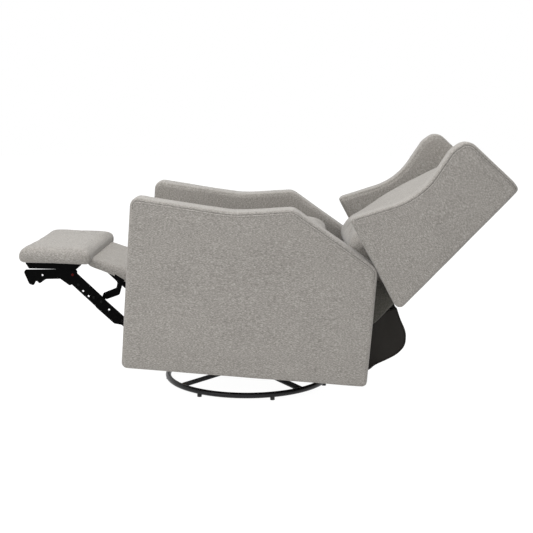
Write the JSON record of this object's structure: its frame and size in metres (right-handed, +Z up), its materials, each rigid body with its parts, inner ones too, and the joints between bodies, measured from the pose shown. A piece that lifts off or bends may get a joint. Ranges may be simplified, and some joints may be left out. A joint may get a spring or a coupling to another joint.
{
  "type": "swivel glider recliner",
  "caption": "Fabric swivel glider recliner on a steel ring base, with high winged back reclined and padded footrest and calf panel swung out on a black link mechanism",
  "frame": {"origin": "bottom centre of the bounding box, on the floor, with the chair as pictured: reclined, footrest out", "axes": "+Z up; front (footrest) toward -Y, back toward +Y; the sitter's left is +X"},
  "size_m": [0.758, 1.694, 0.8983],
  "materials": {
    "upholstery": "heathered warm grey woven upholstery",
    "dust_cloth": "black woven dust cloth",
    "frame_wood": "plain plywood and pine",
    "black_steel": "satin black paint",
    "link_steel": "black painted pressed steel",
    "bright_steel": "plain zinc-plated steel",
    "black_plastic": "matt black moulded plastic"
  },
  "bodies": {
    "base": {"foot_ring": "black_steel", "foot_glides": "black_plastic", "ring_braces": "black_steel", "hub_plate": "black_steel", "lower_race": "bright_steel", "swivel_balls": "bright_steel", "kingpin": "bright_steel"},
    "swivel": {"upper_race": "bright_steel", "swivel_platform": "black_steel", "platform_bolts": "bright_steel", "glide_tower_left": "black_steel", "glide_tower_right": "black_steel"},
    "front_glide_links": {"front_glide_link_left": "black_steel", "front_glide_link_right": "black_steel"},
    "rear_glide_links": {"rear_glide_link_left": "black_steel", "rear_glide_link_right": "black_steel"},
    "chair": {"arm_left": "upholstery", "arm_right": "upholstery", "side_panel_left": "frame_wood", "side_panel_right": "frame_wood", "front_rail": "frame_wood", "rear_rail": "frame_wood", "corner_blocks": "frame_wood", "glide_carriage": "black_steel", "mechanism_plate_left": "link_steel", "mechanism_plate_right": "link_steel", "calf_hinge_brackets": "black_steel", "rear_dust_cover": "dust_cloth", "release_bezel": "black_plastic"},
    "lower_links": {"lower_link_left": "link_steel", "lower_link_right": "link_steel"},
    "upper_links": {"upper_link_left": "link_steel", "upper_link_right": "link_steel"},
    "footrest": {"footrest_rail_left": "link_steel", "footrest_rail_right": "link_steel", "footrest_board": "frame_wood", "footrest_pad": "upholstery"},
    "calf": {"calf_board": "frame_wood", "calf_pad": "upholstery", "calf_brackets": "link_steel"},
    "front_lift_links": {"front_lift_links": "link_steel"},
    "rear_lift_links": {"rear_lift_links": "link_steel"},
    "seat": {"seat_bracket_left": "link_steel", "seat_bracket_right": "link_steel", "seat_frame": "frame_wood", "seat_springs": "bright_steel", "seat_deck": "frame_wood", "seat_cushion": "upholstery"},
    "back": {"back_post_left": "frame_wood", "back_post_right": "frame_wood", "back_rails": "frame_wood", "back_springs": "bright_steel", "back_panel": "frame_wood", "back_bracket_left": "link_steel", "back_bracket_right": "link_steel", "back_cushion": "upholstery", "lower_back_pad": "upholstery", "wing_left": "upholstery", "wing_right": "upholstery"},
    "release_lever": {"release_lever": "black_plastic"}
  },
  "joints": [
    {"name": "swivel", "type": "hinge", "parent": "base", "child": "swivel", "pos_m": [0, -0.0498, 0.05], "axis": [0, 0, 1], "continuous": true},
    {"name": "glide_swing", "type": "hinge", "parent": "swivel", "child": "rear_glide_links", "pos_m": [0, 0.1041, 0.22448], "axis": [1, 0, 0], "range_deg": [-38, 0]},
    {"name": "glide_carry", "type": "hinge", "parent": "rear_glide_links", "child": "chair", "pos_m": [0, 0.11941, 0.11556], "axis": [1, 0, 0], "range_deg": [0, 42]},
    {"name": "glide_front", "type": "hinge", "parent": "swivel", "child": "front_glide_links", "pos_m": [0, -0.2479, 0.23858], "axis": [1, 0, 0], "range_deg": [-38.9, 0]},
    {"name": "footrest_drive", "type": "hinge", "parent": "chair", "child": "lower_links", "pos_m": [0, -0.38687, 0.18397], "axis": [1, 0, 0], "range_deg": [-93, 0]},
    {"name": "footrest_knee", "type": "hinge", "parent": "lower_links", "child": "upper_links", "pos_m": [0, -0.55372, 0.33801], "axis": [1, 0, 0], "range_deg": [0, 131.8]},
    {"name": "footrest_ankle", "type": "hinge", "parent": "upper_links", "child": "footrest", "pos_m": [0, -0.65285, 0.43277], "axis": [1, 0, 0], "range_deg": [0, 48.4]},
    {"name": "calf_fold", "type": "hinge", "parent": "chair", "child": "calf", "pos_m": [0, -0.3658, 0.39599], "axis": [1, 0, 0], "range_deg": [0, 104.7]},
    {"name": "back_recline", "type": "hinge", "parent": "chair", "child": "back", "pos_m": [0, 0.08844, 0.28939], "axis": [1, 0, 0], "range_deg": [0, 25], "deforming": ["rear_dust_cover"]},
    {"name": "seat_lift_front", "type": "hinge", "parent": "chair", "child": "front_lift_links", "pos_m": [0, -0.18824, 0.38553], "axis": [1, 0, 0], "range_deg": [-45.7, 0]},
    {"name": "seat_carry", "type": "hinge", "parent": "front_lift_links", "child": "seat", "pos_m": [0, -0.12944, 0.40517], "axis": [1, 0, 0], "range_deg": [0, 45.7]},
    {"name": "seat_lift_rear", "type": "hinge", "parent": "chair", "child": "rear_lift_links", "pos_m": [0, 0.0411, 0.36816], "axis": [1, 0, 0], "range_deg": [-45.7, 0]},
    {"name": "release_pull", "type": "hinge", "parent": "chair", "child": "release_lever", "pos_m": [0.2605, -0.23022, 0.66352], "axis": [0, 0.9971, -0.0755], "range_deg": [0, 30], "stiffness_Nm_per_rad": 0.15, "springref_deg": -11.46}
  ],
  "couplings": [
    {"joint": "glide_carry", "follows": "glide_swing", "ratio": -1.1048},
    {"joint": "glide_front", "follows": "glide_swing", "ratio": 1.0217},
    {"joint": "footrest_knee", "follows": "footrest_drive", "ratio": -1.4161},
    {"joint": "footrest_ankle", "follows": "footrest_drive", "ratio": -0.5194},
    {"joint": "calf_fold", "follows": "footrest_drive", "ratio": -1.1247},
    {"joint": "seat_lift_front", "follows": "back_recline", "ratio": -1.824},
    {"joint": "seat_carry", "follows": "back_recline", "ratio": 1.824},
    {"joint": "seat_lift_rear", "follows": "back_recline", "ratio": -1.824}
  ]
}
